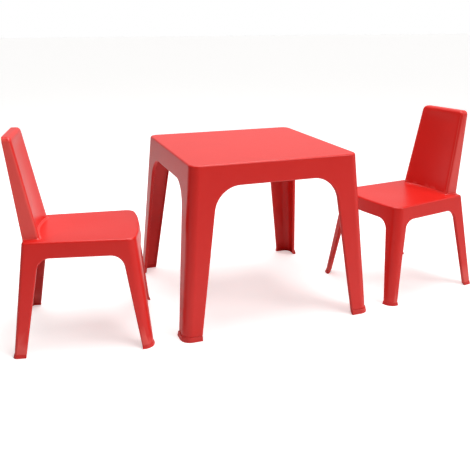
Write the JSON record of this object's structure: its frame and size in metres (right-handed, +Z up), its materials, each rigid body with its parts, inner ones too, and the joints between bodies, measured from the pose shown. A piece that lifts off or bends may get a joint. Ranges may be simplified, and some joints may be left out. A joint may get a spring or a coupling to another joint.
{
  "type": "children's table with two chairs",
  "caption": "Low square moulded table with a matching moulded chair at each side, for small children.",
  "frame": {"origin": "on the floor under the middle of the table", "axes": "+X along the row from chair_1 through the table to chair_2, +Y towards the back of the set, +Z up"},
  "size_m": [1.4538, 0.584, 0.564],
  "materials": {
    "moulding": "red injection-moulded polypropylene, satin with a fine grain",
    "glide": "red soft plastic, satin"
  },
  "bodies": {
    "table": {"table_shell": "moulding", "table_glide_front_left": "glide", "table_glide_front_right": "glide", "table_glide_back_left": "glide", "table_glide_back_right": "glide"},
    "chair_1": {"chair_1_shell": "moulding", "chair_1_glide_front_left": "glide", "chair_1_glide_front_right": "glide", "chair_1_glide_back_left": "glide", "chair_1_glide_back_right": "glide"},
    "chair_2": {"chair_2_shell": "moulding", "chair_2_glide_front_left": "glide", "chair_2_glide_front_right": "glide", "chair_2_glide_back_left": "glide", "chair_2_glide_back_right": "glide"}
  },
  "joints": [
    {"name": "chair_1_slide", "type": "slide", "parent": "table", "child": "chair_1", "axis": [0.9848, -0.1736, 0], "range_m": [-0.35, 0.05]},
    {"name": "chair_2_slide", "type": "slide", "parent": "table", "child": "chair_2", "axis": [-0.9848, -0.1736, 0], "range_m": [-0.35, 0.05]}
  ]
}
